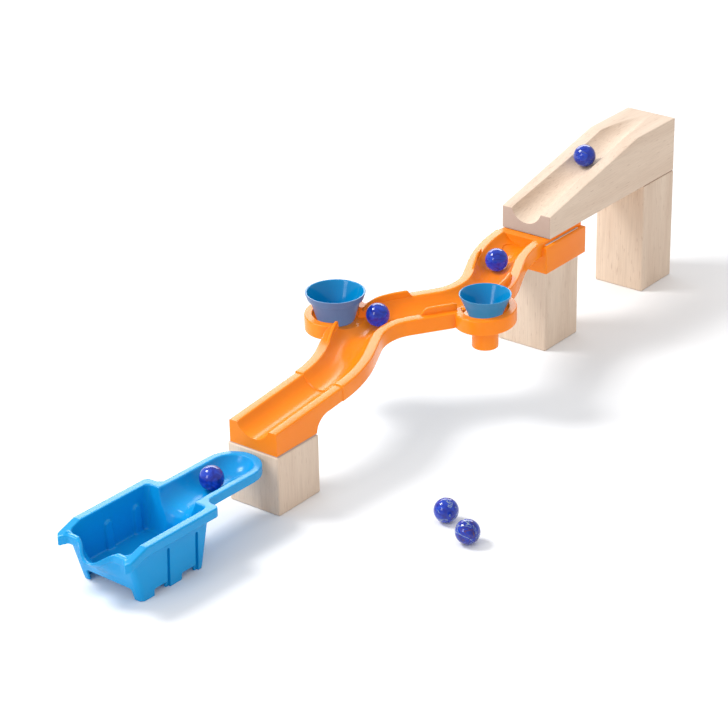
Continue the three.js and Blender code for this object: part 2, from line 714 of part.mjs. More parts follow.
const marbleRun = new THREE.Group();
marbleRun.add(
  makeBlock('front_block', 0, BLOCK.side),
  makeBlock('middle_block', BLOCK.middleX, BLOCK.tall),
  makeBlock('rear_block', BLOCK.rearX, BLOCK.rearTall),
  makeRamp(),
  makeTrack(),
  makeCup('left_cup', rings.left, cupProfiles.left),
  makeCup('right_cup', rings.right, cupProfiles.right),
  rampMarble('ramp_marble', 72),
  trackMarble('upper_marble', 266),
  trackMarble('middle_marble', 152),
  makeMarble('loose_marble_1', 35, -106, MARBLE.radius + 0.05),
  makeMarble('loose_marble_2', 21, -132, MARBLE.radius + 0.05),
);

const scoopGroup = new THREE.Group();
scoopGroup.position.set(SCOOP.handleEnd, 0, 0);
scoopGroup.rotation.z = radians(SCOOP.turn);
const scoopPlace = new THREE.Group();
scoopPlace.position.x = -SCOOP.handleEnd;
scoopPlace.add(
  makeScoop(),
  makeMarble('scoop_marble', -57, 0, SCOOP.rimZ - SCOOP.channelDepth + MARBLE.radius),
);
scoopGroup.add(scoopPlace);
marbleRun.add(scoopGroup);

export default marbleRun;
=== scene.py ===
# Marble run: beech blocks and ramp, a moulded orange track, two cups, a scoop and six marbles.
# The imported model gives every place; the meshes here are finer versions of its pieces.

import json
import math

import bmesh
import bpy
import numpy as np
from mathutils import Matrix, Vector

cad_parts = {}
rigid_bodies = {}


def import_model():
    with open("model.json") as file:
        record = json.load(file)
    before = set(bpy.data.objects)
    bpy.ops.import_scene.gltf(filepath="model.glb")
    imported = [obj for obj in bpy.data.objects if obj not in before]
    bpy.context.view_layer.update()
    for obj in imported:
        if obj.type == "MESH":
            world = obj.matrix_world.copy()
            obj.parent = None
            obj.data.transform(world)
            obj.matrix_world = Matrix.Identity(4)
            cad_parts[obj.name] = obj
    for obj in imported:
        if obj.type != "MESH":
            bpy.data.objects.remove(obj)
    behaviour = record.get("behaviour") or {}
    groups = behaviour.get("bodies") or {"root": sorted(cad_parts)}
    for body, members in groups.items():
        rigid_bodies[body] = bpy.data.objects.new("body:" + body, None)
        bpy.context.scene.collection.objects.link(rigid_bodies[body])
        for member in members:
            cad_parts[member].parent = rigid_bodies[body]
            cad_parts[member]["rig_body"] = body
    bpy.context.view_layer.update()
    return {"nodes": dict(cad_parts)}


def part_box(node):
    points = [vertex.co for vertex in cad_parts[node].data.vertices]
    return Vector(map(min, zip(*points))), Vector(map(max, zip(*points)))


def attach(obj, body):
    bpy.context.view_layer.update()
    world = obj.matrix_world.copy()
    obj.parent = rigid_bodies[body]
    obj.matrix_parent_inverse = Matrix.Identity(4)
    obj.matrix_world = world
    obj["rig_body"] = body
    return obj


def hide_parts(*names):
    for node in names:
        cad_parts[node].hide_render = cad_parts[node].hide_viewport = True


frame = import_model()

millimetre = 0.001
print("frame loaded:", len(frame["nodes"]), "nodes")


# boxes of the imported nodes, in millimetres
def boxOf(node):
    low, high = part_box(node)
    return np.array(low) / millimetre, np.array(high) / millimetre


def centreOf(node):
    low, high = boxOf(node)
    return (low + high) / 2


# camera and studio

cameraSettings = {
    "place": (-1.0576, -0.9034, 0.7561),
    "forward": (0.70887, 0.55709, -0.43260),
    "roll": -1.149,
    "lens": 125.45,
    "sensor": 36,
    "reach": 20,
}


# a lamp's or camera's matrix, looking along a direction
def facing(place, direction):
    return Matrix.Translation(place) @ Vector(direction).to_track_quat("-Z", "Y").to_matrix().to_4x4()


def addCamera(settings):
    data = bpy.data.cameras.new("camera")
    data.lens = settings["lens"]
    data.sensor_width = settings["sensor"]
    data.clip_end = settings["reach"]
    camera = bpy.data.objects.new("camera", data)
    turn = Matrix.Rotation(math.radians(settings["roll"]), 4, "Z")
    camera.matrix_world = facing(settings["place"], settings["forward"]) @ turn
    bpy.context.scene.collection.objects.link(camera)
    bpy.context.scene.camera = camera


studio = {
    "worldColour": (0.98, 0.985, 1.0),
    "worldStrength": 0.78,
    "floorColour": (0.93, 0.93, 0.935),
    "floorHalf": 6.0,
    "aim": (0.1, 0, 0.05),
    "softboxes": {
        "key": {"place": (-0.34, 0.9, 1.3), "size": (0.5, 0.5), "power": 17},
        "left": {"place": (-1.6, 0.25, 1.0), "size": (0.5, 0.8), "power": 7},
        "back": {"place": (1.6, 1.25, 1.05), "size": (2.4, 0.9), "power": 6},
        "gloss": {"place": (1.7, 1.3, 1.1), "size": (2.4, 1.0), "power": 30, "diffuse": False},
    },
}


def addSoftbox(name, box, aim):
    data = bpy.data.lights.new(name, "AREA")
    data.shape = "RECTANGLE"
    data.size, data.size_y = box["size"]
    data.energy = box["power"]
    light = bpy.data.objects.new(name, data)
    light.visible_diffuse = box.get("diffuse", True)
    light.matrix_world = facing(box["place"], Vector(aim) - Vector(box["place"]))
    bpy.context.scene.collection.objects.link(light)


def addWorld(colour, strength):
    world = bpy.data.worlds.new("studio")
    world.use_nodes = True
    background = world.node_tree.nodes["Background"]
    background.inputs["Color"].default_value = (*colour, 1)
    background.inputs["Strength"].default_value = strength
    bpy.context.scene.world = world
    bpy.context.scene.view_settings.view_transform = "Standard"


def addFloor(colour, half):
    corners = [(-half, -half, 0), (half, -half, 0), (half, half, 0), (-half, half, 0)]
    mesh = bpy.data.meshes.new("floor")
    mesh.from_pydata(corners, [], [(0, 1, 2, 3)])
    floor = bpy.data.objects.new("floor", mesh)
    bpy.context.scene.collection.objects.link(floor)
    matt = bpy.data.materials.new("floorPaint")
    matt.use_nodes = True
    shader = matt.node_tree.nodes["Principled BSDF"]
    shader.inputs["Base Color"].default_value = (*colour, 1)
    shader.inputs["Roughness"].default_value = 1
    shader.inputs["Specular IOR Level"].default_value = 0
    mesh.materials.append(matt)


def addStudio(settings):
    addWorld(settings["worldColour"], settings["worldStrength"])
    for name, box in settings["softboxes"].items():
        addSoftbox(name, box, settings["aim"])
    addFloor(settings["floorColour"], settings["floorHalf"])


addCamera(cameraSettings)
addStudio(studio)
print("camera and studio placed")

# node materials


class Finish:
    # a material with a principled shader and short calls for the nodes round it
    def __init__(self, name):
        self.material = bpy.data.materials.new(name)
        self.material.use_nodes = True
        self.tree = self.material.node_tree
        self.shader = self.tree.nodes["Principled BSDF"]
        self.place = self.tree.nodes.new("ShaderNodeTexCoord").outputs["Object"]

    def link(self, output, target):
        self.tree.links.new(output, target)

    def stretched(self, scale, turn=(0, 0, 0)):
        node = self.tree.nodes.new("ShaderNodeMapping")
        node.inputs["Scale"].default_value = scale
        node.inputs["Rotation"].default_value = turn
        self.link(self.place, node.inputs["Vector"])
        return node.outputs["Vector"]

    def noise(self, vector, scale, detail=3.0, roughness=0.5, distortion=0.0):
        node = self.tree.nodes.new("ShaderNodeTexNoise")
        node.inputs["Scale"].default_value = scale
        node.inputs["Detail"].default_value = detail
        node.inputs["Roughness"].default_value = roughness
        node.inputs["Distortion"].default_value = distortion
        self.link(vector, node.inputs["Vector"])
        return node.outputs["Fac"]

    def ramp(self, value, stops):
        node = self.tree.nodes.new("ShaderNodeValToRGB")
        bar = node.color_ramp
        bar.elements[0].position, bar.elements[0].color = stops[0][0], (*stops[0][1], 1)
        bar.elements[1].position, bar.elements[1].color = stops[-1][0], (*stops[-1][1], 1)
        for position, colour in stops[1:-1]:
            bar.elements.new(position).color = (*colour, 1)
        self.link(value, node.inputs["Fac"])
        return node.outputs["Color"]

    def mix(self, mode, share, first, second):
        node = self.tree.nodes.new("ShaderNodeMix")
        node.data_type = "RGBA"
        node.blend_type = mode
        for value, socket in ((share, node.inputs[0]), (first, node.inputs[6]), (second, node.inputs[7])):
            if isinstance(value, bpy.types.NodeSocket):
                self.link(value, socket)
            else:
                socket.default_value = value
        return node.outputs[2]

    def span(self, value, low, high):
        node = self.tree.nodes.new("ShaderNodeMapRange")
        node.inputs["To Min"].default_value = low
        node.inputs["To Max"].default_value = high
        self.link(value, node.inputs["Value"])
        return node.outputs["Result"]

    def bump(self, height, strength, distance):
        node = self.tree.nodes.new("ShaderNodeBump")
        node.inputs["Strength"].default_value = strength
        node.inputs["Distance"].default_value = distance
        self.link(height, node.inputs["Height"])
        self.link(node.outputs["Normal"], self.shader.inputs["Normal"])

    def set(self, **values):
        for name, value in values.items():
            self.shader.inputs[name.replace("_", " ")].default_value = value


beechLook = {
    "pale": (0.80, 0.64, 0.50),
    "mid": (0.755, 0.59, 0.455),
    "dark": (0.70, 0.53, 0.40),
    "fleck": (0.52, 0.35, 0.25),
    "endGrain": (0.45, 0.31, 0.25),
    "fleckShare": (0.5, 0.5, 0.5, 1),
    "fibreTones": [(0.3, (0.90, 0.885, 0.87)), (0.6, (1.0, 1.0, 1.0))],
    "endSpread": [(0.75, (0, 0, 0)), (0.93, (0.85, 0.85, 0.85))],
    "ringScale": (60, 5),
    "fibreScale": (1500, 45),
    "rayScale": (900, 130),
    "roughness": (0.62, 0.8),
}


def beechFinish(name, grainAxis):
    look = beechLook
    finish = Finish(name)
    along = "XYZ".index(grainAxis)

    def stretch(across, length):
        scale = [across, across, across]
        scale[along] = length
        return finish.stretched(tuple(scale))

    rings = finish.noise(stretch(*look["ringScale"]), 1.0, 4, 0.55, 0.6)
    colour = finish.ramp(rings, [(0.3, look["dark"]), (0.45, look["mid"]), (0.62, look["pale"])])
    fibres = finish.noise(stretch(*look["fibreScale"]), 1.0, 2, 0.6)
    colour = finish.mix("MULTIPLY", 1.0, colour, finish.ramp(fibres, look["fibreTones"]))
    rays = finish.noise(stretch(*look["rayScale"]), 1.0, 1, 0.4)
    rayMask = finish.ramp(rays, [(0.66, (0, 0, 0)), (0.74, (1, 1, 1))])
    rayShare = finish.mix("MULTIPLY", 1.0, rayMask, look["fleckShare"])
    colour = finish.mix("MIX", rayShare, colour, (*look["fleck"], 1))
    shape = finish.tree.nodes.new("ShaderNodeNewGeometry")
    parts = finish.tree.nodes.new("ShaderNodeSeparateXYZ")
    finish.link(shape.outputs["Normal"], parts.inputs[0])
    size = finish.tree.nodes.new("ShaderNodeMath")
    size.operation = "ABSOLUTE"
    finish.link(parts.outputs[along], size.inputs[0])
    ends = finish.ramp(size.outputs[0], look["endSpread"])
    colour = finish.mix("MIX", ends, colour, (*look["endGrain"], 1))
    finish.link(colour, finish.shader.inputs["Base Color"])
    finish.link(finish.span(fibres, *look["roughness"]), finish.shader.inputs["Roughness"])
    finish.set(IOR=1.45, Specular_IOR_Level=0.35)
    finish.bump(fibres, 0.25, 0.0002)
    return finish.material


# hollow is painted shade: it deepens the colour in the moulding's own hollows, standing in for its light
# falling back on itself
plasticLooks = {
    "trackOrange": {"base": (1.0, 0.27, 0.006), "shade": (0.97, 0.235, 0.004), "roughness": 0.2,
                    "subsurface": 0.12, "grain": 0.04, "hollow": (0.97, 0.68, 0.3)},
    "cupBlue": {"base": (0.0, 0.245, 0.53), "shade": (0.0, 0.225, 0.49), "roughness": 0.12,
                "subsurface": 0.0, "grain": 0.02},
    # the cups' outsides are the same blue plastic with a semi-gloss roughness and painted light in the
    # colour: the left one's greyer purple blue is a painted reflection of the orange track, the right one's
    # greyer blue a painted sheen
    "leftSatin": {"base": (0.105, 0.165, 0.32), "shade": (0.10, 0.15, 0.29), "roughness": 0.34,
                  "subsurface": 0.0, "grain": 0.06},
    "rightSatin": {"base": (0.03, 0.225, 0.42), "shade": (0.03, 0.205, 0.39), "roughness": 0.3,
                   "subsurface": 0.0, "grain": 0.06},
    "scoopBlue": {"base": (0.004, 0.325, 0.70), "shade": (0.002, 0.30, 0.66), "roughness": 0.22,
                  "subsurface": 0.08, "grain": 0.04},
}


def plasticFinish(name):
    look = plasticLooks[name]
    finish = Finish(name)
    drift = finish.noise(finish.stretched((1, 1, 1)), 18, 2, 0.5)
    colour = finish.ramp(drift, [(0.3, look["shade"]), (0.7, look["base"])])
    if "hollow" in look:
        # painted shade: the ambient occlusion darkens and deepens the colour in the hollows
        openness = finish.tree.nodes.new("ShaderNodeAmbientOcclusion")
        openness.only_local = True
        openness.inputs["Distance"].default_value = 0.025
        tint = finish.ramp(openness.outputs["AO"], [(0.55, look["hollow"]), (0.95, (1, 1, 1))])
        colour = finish.mix("MULTIPLY", 1.0, colour, tint)
    finish.link(colour, finish.shader.inputs["Base Color"])
    texture = finish.noise(finish.stretched((1, 1, 1)), 2600, 2, 0.5)
    roughness = finish.span(texture, look["roughness"] - 0.05, look["roughness"] + 0.07)
    finish.link(roughness, finish.shader.inputs["Roughness"])
    finish.set(IOR=1.5, Specular_IOR_Level=0.27, Subsurface_Scale=0.002)
    finish.set(Subsurface_Weight=look["subsurface"], Subsurface_Radius=(1.0, 0.5, 0.25))
    finish.bump(texture, look["grain"], 0.00005)
    return finish.material


marbleLook = {
    "deep": (0.004, 0.010, 0.21),
    "body": (0.006, 0.030, 0.36),
    "swirl": (0.012, 0.055, 0.48),
    "vein": (0.32, 0.42, 0.40),
    "rust": (0.10, 0.03, 0.02),
}


def marbleFinish(name, turn, veinShare):
    look = marbleLook
    finish = Finish(name)
    flow = finish.stretched((1, 0.45, 1), turn)
    cloud = finish.noise(flow, 150, 3, 0.55, 2.2)
    stops = [(0.3, look["deep"]), (0.5, look["body"]), (0.68, look["swirl"])]
    colour = finish.ramp(cloud, stops)
    streak = finish.noise(finish.stretched((1, 0.25, 0.8), turn), 120, 2, 0.5, 3.0)
    vein = finish.ramp(streak, [(0.585, (0, 0, 0)), (0.61, (1, 1, 1)), (0.64, (0, 0, 0))])
    rust = finish.ramp(streak, [(0.36, (0, 0, 0)), (0.385, (1, 1, 1)), (0.41, (0, 0, 0))])
    for mask, tint in ((vein, look["vein"]), (rust, look["rust"])):
        share = finish.mix("MULTIPLY", 1.0, mask, (veinShare, veinShare, veinShare, 1))
        colour = finish.mix("MIX", share, colour, (*tint, 1))
    finish.link(colour, finish.shader.inputs["Base Color"])
    scuffs = finish.noise(finish.stretched((1, 1, 1)), 700, 3, 0.6)
    finish.link(finish.span(scuffs, 0.04, 0.1), finish.shader.inputs["Roughness"])
    finish.set(IOR=1.52, Coat_Weight=0.25, Coat_Roughness=0.03, Coat_IOR=1.5, Specular_IOR_Level=0.35)
    finish.bump(scuffs, 0.04, 0.00005)
    return finish.material


finishes = {"blockBeech": beechFinish("blockBeech", "Z"), "rampBeech": beechFinish("rampBeech", "X")}
finishes.update({name: plasticFinish(name) for name in plasticLooks})
print("materials made:", len(finishes))

# mesh tools, all in millimetres


def pieceFrom(name, points, faces, look=None):
    mesh = bpy.data.meshes.new(name)
    mesh.from_pydata([tuple(np.array(p) * millimetre) for p in points], [], faces)
    mesh.update()
    obj = bpy.data.objects.new(name, mesh)
    bpy.context.scene.collection.objects.link(obj)
    if look:
        mesh.materials.append(finishes[look])
    return obj


# a closed skin through rings with equal counts of points
def skin(name, rings, look=None):
    count = len(rings[0])
    points = [p for ring in rings for p in ring]
    faces = []
    for i in range(len(rings) - 1):
        for j in range(count):
            k = (j + 1) % count
            faces.append((i * count + j, i * count + k, (i + 1) * count + k, (i + 1) * count + j))
    last = (len(rings) - 1) * count
    faces.append(tuple(reversed(range(count))))
    faces.append(tuple(last + j for j in range(count)))
    obj = pieceFrom(name, points, faces, look)
    tidy = bmesh.new()
    tidy.from_mesh(obj.data)
    bmesh.ops.remove_doubles(tidy, verts=tidy.verts, dist=1e-6)
    bmesh.ops.recalc_face_normals(tidy, faces=tidy.faces)
    tidy.to_mesh(obj.data)
    tidy.free()
    return obj


# a profile of (radius, height) turned about the Z axis through a place
def lathe(name, profile, place, sides, look=None, lean=0.0):
    rings = []
    for radius, height in profile:
        ring = []
        for i in range(sides):
            angle = 2 * math.pi * i / sides
            x = radius * math.cos(angle)
            y = radius * math.sin(angle)
            ring.append((place[0] + x, place[1] + y, place[2] + height + lean * x))
        rings.append(ring)
    return skin(name, rings, look)


# a plain upright cylinder
def column(name, radius, low, high, place, sides):
    outline = [(0, low), (radius, low), (radius, high), (0, high)]
    return lathe(name, outline, (place[0], place[1], 0), sides)


# corners (x, y, r) drawn with rounds of radius r
def rounded(corners, steps=4):
    points = []
    count = len(corners)
    for i, (x, y, r) in enumerate(corners):
        here = np.array((x, y), float)
        if r <= 0:
            points.append(tuple(here))
            continue
        before = np.array(corners[i - 1][:2], float) - here
        after = np.array(corners[(i + 1) % count][:2], float) - here
        back, ahead = np.linalg.norm(before), np.linalg.norm(after)
        start = here + before / back * min(r, back * 0.48)
        end = here + after / ahead * min(r, ahead * 0.48)
        for k in range(steps + 1):
            t = k / steps
            points.append(tuple((1 - t) ** 2 * start + 2 * t * (1 - t) * here + t * t * end))
    return points


def arc(cx, cy, radius, start, stop, steps):
    angles = np.radians(np.linspace(start, stop, steps + 1))
    return [(cx + radius * math.cos(a), cy + radius * math.sin(a)) for a in angles]


def plate(name, outline, low, high, lift=lambda x, y: 0.0):
    rings = [[(x, y, z + lift(x, y)) for x, y in outline] for z in (low, high)]
    return skin(name, rings)


def softBox(name, low, high, ease, look=None, segments=3):
    low, high = np.array(low, float), np.array(high, float)
    x, y, z = zip(low, high)
    points = [(x[i], y[j], z[k]) for i in (0, 1) for j in (0, 1) for k in (0, 1)]
    faces = [(0, 1, 3, 2), (4, 6, 7, 5), (0, 4, 5, 1), (2, 3, 7, 6), (0, 2, 6, 4), (1, 5, 7, 3)]
    obj = pieceFrom(name, points, faces, look)
    work = bmesh.new()
    work.from_mesh(obj.data)
    if ease > 0:
        bmesh.ops.bevel(
            work, geom=list(work.edges), offset=ease * millimetre, segments=segments,
            profile=0.5, affect="EDGES", clamp_overlap=True,
        )
    bmesh.ops.recalc_face_normals(work, faces=work.faces)
    work.to_mesh(obj.data)
    work.free()
    return obj


# puts an object's modifiers into its mesh
def bake(obj):
    evaluated = obj.evaluated_get(bpy.context.evaluated_depsgraph_get())
    mesh = bpy.data.meshes.new_from_object(evaluated)
    obj.modifiers.clear()
    obj.data = mesh
    return obj


def combine(obj, others, how):
    for other in others:
        step = obj.modifiers.new(how, "BOOLEAN")
        step.operation = how
        step.solver = "MANIFOLD"
        step.object = other
        bake(obj)
        bpy.data.objects.remove(other)
    return obj


# soft moulded edges everywhere, by an even remesh and some relaxing
def soften(obj, voxel, passes):
    remesh = obj.modifiers.new("evenOut", "REMESH")
    remesh.mode = "VOXEL"
    remesh.voxel_size = voxel * millimetre
    relax = obj.modifiers.new("relax", "SMOOTH")
    relax.factor = 0.5
    relax.iterations = passes
    return bake(obj)


def smoothShade(obj, angle=32):
    obj.data.polygons.foreach_set("use_smooth", [True] * len(obj.data.polygons))
    obj.data.set_sharp_from_angle(angle=math.radians(angle))
    return obj


def paint(obj, look):
    obj.data.materials.clear()
    obj.data.materials.append(finishes[look])
    obj.data.polygons.foreach_set("material_index", [0] * len(obj.data.polygons))


def seat(obj, node):
    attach(obj, frame["nodes"][node]["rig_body"])
    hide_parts(node)
    return obj


# beech blocks

blockDims = {"ease": 1.1, "segments": 4}


def makeBlock(node):
    low, high = boxOf(node)
    name = node.replace("_block", "Block")
    block = softBox(name, low, high, blockDims["ease"], "blockBeech", blockDims["segments"])
    smoothShade(block, 40)
    return seat(block, node)


for node in ("front_block", "middle_block", "rear_block"):
    makeBlock(node)
print("blocks made")

# beech ramp

rampDims = {
    "frontTop": 16.3, "flat": 50, "grooveR": 12.5, "grooveDepth": 9, "grooveEnd": 11,
    "grooveRise": 0.2566, "grooveStraight": 72, "ease": 0.9, "edgeSoft": 0.16, "breakSoft": 0.144,
    "grooveHalf": 14.5, "breakReach": 3,
}


def softMin(a, b, softness):
    low = np.minimum(a, b)
    return low - softness * np.log(np.exp((low - a) / softness) + np.exp((low - b) / softness))


def grooveBottom(u, foot, top, length):
    d = rampDims
    start = foot + d["frontTop"] - d["grooveDepth"]
    if u <= d["grooveStraight"]:
        return start + d["grooveRise"] * u
    run = length - d["grooveEnd"] - d["grooveStraight"]
    past = u - d["grooveStraight"]
    knee = start + d["grooveRise"] * d["grooveStraight"]
    bend = (knee + d["grooveRise"] * run - top) / run ** 2
    return knee + d["grooveRise"] * past - bend * past ** 2


def rampSection(u, shrink, low, high):
    d = rampDims
    length = high[0] - low[0]
    half = (high[1] - low[1]) / 2
    slope = (high[2] - low[2] - d["frontTop"]) / (length - d["flat"])
    topZ = float(softMin(low[2] + d["frontTop"] + slope * max(u, 0.0), high[2], d["breakSoft"]))
    y = np.unique(np.concatenate([np.linspace(-half + d["ease"], half - d["ease"], 25),
                                  np.linspace(-d["grooveHalf"], d["grooveHalf"], 97)]))
    fall = d["grooveR"] ** 2 - y ** 2
    bottom = grooveBottom(u, low[2], high[2], length)
    arcZ = np.where(fall > 0, bottom + d["grooveR"] - np.sqrt(np.maximum(fall, 0)), 1e3)
    z = softMin(np.full_like(y, topZ), np.minimum(arcZ, topZ + 30), d["edgeSoft"])
    e = d["ease"]
    turn = np.radians(np.linspace(0, 90, 5))
    rightTop = [(half - e + e * math.cos(a), topZ - e + e * math.sin(a)) for a in turn]
    leftTop = [(-y1, z1) for y1, z1 in reversed(rightTop)]
    leftLow = [(-half + e - e * math.cos(a), low[2] + e - e * math.sin(a)) for a in turn]
    rightLow = [(-y1, z1) for y1, z1 in reversed(leftLow)]
    points = rightTop + list(zip(y[::-1], z[::-1])) + leftTop + leftLow + rightLow
    middle = (low[2] + topZ) / 2
    across = (half - shrink) / half
    upright = (topZ - middle - shrink) / (topZ - middle)
    return [(low[0] + u, p * across, middle + (q - middle) * upright) for p, q in points]


def makeRamp():
    low, high = boxOf("wooden_ramp")
    length = high[0] - low[0]
    e, reach, top = rampDims["ease"], rampDims["breakReach"], length - rampDims["flat"]
    turn = np.radians([0, 22.5, 45, 67.5])
    stations = sorted((e - e * math.cos(a), e - e * math.sin(a)) for a in turn)
    inner = np.concatenate([np.linspace(e, top - reach - 1, 34),
                            np.linspace(top - reach, top + reach, 9),
                            np.linspace(top + reach + 1, length - e, 46)])
    every = stations + [(u, 0.0) for u in inner] + [(length - u, s) for u, s in reversed(stations)]
    ramp = skin("woodenRamp", [rampSection(u, s, low, high) for u, s in every], "rampBeech")
    smoothShade(ramp, 28)
    return seat(ramp, "wooden_ramp")


makeRamp()
print("ramp made")

# cups

cupDims = {
    "sides": 128,
    "left": {"look": "cupBlue", "profile": [
        (0, -15, 0), (4.3, -15, 0.5), (4.3, 0, 0), (11.8, 0, 0.5), (12.3, 0.8, 0.5), (16.9, 15.2, 0.3),
        (18.5, 15.6, 0.5), (20, 20.0, 0.4), (19.6, 20.3, 0.3), (18.6, 20.2, 0.6), (16.7, 15.4, 1.0),
        (11.4, 2.4, 2.4), (9.0, 1.8, 0), (0, 1.8, 0)]},
    "right": {"look": "cupBlue", "profile": [
        (0, -15, 0), (4.3, -15, 0.5), (4.3, 0, 0), (10.3, 0, 0.5), (11, 0.8, 0.6), (12.9, 5.2, 2),
        (15, 10.2, 2), (17.25, 15, 0.4), (17.1, 15.4, 0.3), (16.3, 15.2, 0.5), (13.7, 10.2, 2),
        (11.6, 5.4, 2), (9.9, 2.3, 2.4), (8, 1.8, 0), (0, 1.8, 0)]},
}


def makeCup(side):
    node = side + "_cup"
    low, high = boxOf(node)
    cup = cupDims[side]
    profile = rounded(cup["profile"], 5)
    foot = low[2] - min(z for _, z in profile)
    centre = (low + high) / 2
    body = lathe(side + "Cup", profile, (centre[0], centre[1], foot), cupDims["sides"], cup["look"])
    # the outward faces take the copy of the blue with painted light in its colour
    body.data.materials.append(finishes[side + "Satin"])
    axis = np.array((centre[0], centre[1])) * millimetre
    for face in body.data.polygons:
        outward = np.dot(np.array(face.normal[:2]), np.array(face.center[:2]) - axis)
        face.material_index = int(outward > 0)
    smoothShade(body, 45)
    return seat(body, node)


makeCup("left")
makeCup("right")
print("cups made")

# marbles

marbleDims = {
    "rows": 48, "columns": 96,
    "swirls": {
        "scoop_marble": ((0.5, 0.2, 1.9), 0.0),
        "ramp_marble": ((1.1, 0.6, 0.2), 0.2),
        "upper_marble": ((0.2, 1.4, 0.9), 0.0),
        "middle_marble": ((2.1, 0.4, 1.2), 0.0),
        "loose_marble_1": ((0.9, 1.1, 2.6), 0.9),
        "loose_marble_2": ((0.1, 0.8, 0.5), 1.0),
    },
}


def makeMarble(node):
    turn, veinShare = marbleDims["swirls"][node]
    low, high = boxOf(node)
    radius = (high[2] - low[2]) / 2
    words = node.split("_")
    name = words[0] + "".join(word.capitalize() for word in words[1:])
    finishes[name] = marbleFinish(name + "Glass", turn, veinShare)
    angles = [math.radians(a) for a in np.linspace(-90, 90, marbleDims["rows"] + 1)]
    profile = [(radius * math.cos(a), radius * math.sin(a)) for a in angles]
    marble = lathe(name, profile, (low + high) / 2, marbleDims["columns"], name)
    smoothShade(marble, 60)
    return seat(marble, node)


for node in marbleDims["swirls"]:
    makeMarble(node)
print("marbles made")

# track

trackDims = {
    "rise": 0.0955, "rimZ": 57.3, "halfWidth": 19.3, "channelHalf": 12.6, "channelDepth": 8,
    "wall": 1.8, "skirt": 9.6, "straight": 66.8, "endBendR": 84.5, "endBend": 24.4, "link": 18.5,
    "midBendR": 43.4, "midBend": 41.3, "middle": 24.9, "stepAt": 65, "stepUp": 0.9, "stepOut": 0.6,
    "stepRun": 0.5, "shoeFillet": 11, "gap": 0.3, "step": 1.6, "rimRound": 1.0, "innerRound": 0.9,
    "innerLap": 0.15, "footRound": 0.4, "wallRound": 0.3, "tail": 40, "channelSteps": 40, "underSteps": 24,
    "roomHigh": 12, "noseTop": 0.9, "collarLap": 1, "mouthLap": 2,
}
ringDims = {
    "outer": 20.8, "inner": 15.4, "height": 10, "floorDepth": 6.4, "stubR": 8.8, "stub": 18,
    "boreR": 4.6, "round": 0.9, "flare": 0.6, "sides": 144, "footRound": 0.5, "stubRound": 0.8,
    "stubLap": 1, "stubSides": 96, "boreSides": 64, "boreDeep": 40, "above": 30, "clearReach": 24,
    "clearUnder": 0.4, "mouthDeep": 1.5, "mouthHigh": 4, "mouthStart": 0.05, "tight": 0.01,
    "breakWide": 12, "breakMiddle": 7,
    "left": {"open": (129, 157), "side": 1}, "right": {"open": (201, 229), "side": -1},
}
# each wall's side of the path, and its height above the rim at lengths along the path
guardDims = {
    "wall": 1.9, "round": 0.8, "inset": 0.1, "root": 1.2, "step": 1.2, "below": 0.1,
    "walls": {
        "leftFin": (1, [(110, -0.6), (113, 0.5), (117, 1.6), (121, 2.6), (125, 3.6), (128.4, 4.4),
                        (129.4, 3.8)]),
        "leftGuard": (1, [(150.5, -0.6), (152, 1.2), (154.5, 2.9), (158, 4.1), (162, 4.5), (175, 4.5),
                          (176.4, 4.1), (179.2, 0.2), (180, -0.6)]),
        "rightGuard": (-1, [(178, -0.6), (179, 0.4), (181.5, 3.3), (184, 4.5), (200, 4.5), (201.4, 3.8)]),
        "upperFin": (1, [(250, -0.6), (253, 0.5), (260, 1.9), (267, 3.2), (273, 4.4), (274, 3.8)]),
        "rightFin": (-1, [(228.6, 3.7), (229.6, 4.4), (241, 4.5), (242.4, 4.1), (245.2, 0.2), (246, -0.6)]),
    },
}
collarDims = {
    "length": 48.5, "width": 46, "bottom": 60.5, "plate": 2, "plateInset": 1, "fit": 0.4, "ease": 0.7,
    "sill": 1.4, "lidLap": 3, "lidEase": 0.4,
}
padDims = {"at": 296.5, "radius": 7.6, "depth": 0.5, "cut": 20, "reach": 14, "sides": 96}

frontHigh = boxOf("front_block")[1]
middleLow, middleHigh = boxOf("middle_block")
middleX = (middleLow[0] + middleHigh[0]) / 2
trackLow, trackHigh = boxOf("s_track")


def pathLegs():
    d = trackDims
    swing = d["endBend"] + d["midBend"]
    return [
        (d["straight"], 0), (d["endBendR"] * math.radians(d["endBend"]), d["endBend"]), (d["link"], 0),
        (d["midBendR"] * math.radians(swing), -swing), (d["middle"], 0),
        (d["midBendR"] * math.radians(swing), swing), (d["link"], 0),
        (d["endBendR"] * math.radians(d["endBend"]), -d["endBend"]), (d["tail"], 0),
    ]


# place and heading after a length along the chain of straights and arcs
def pathAt(distance):
    x, y, heading, left = trackLow[0], 0.0, 0.0, distance
    for length, turn in pathLegs():
        part = min(left, length)
        bend = math.radians(turn) * part / length
        if turn == 0:
            x += part * math.cos(heading)
            y += part * math.sin(heading)
        else:
            radius = length / math.radians(turn)
            x += radius * (math.sin(heading + bend) - math.sin(heading))
            y -= radius * (math.cos(heading + bend) - math.cos(heading))
        heading += bend
        left -= part
        if left <= 0:
            break
    return x, y, heading


def rimHeight(x):
    return trackDims["rimZ"] + trackDims["rise"] * x


# a point w to the left of the path and a drop below its rims
def beside(distance, w, drop):
    x, y, heading = pathAt(distance)
    px = x - math.sin(heading) * w
    return (px, y + math.cos(heading) * w, rimHeight(px) - drop)


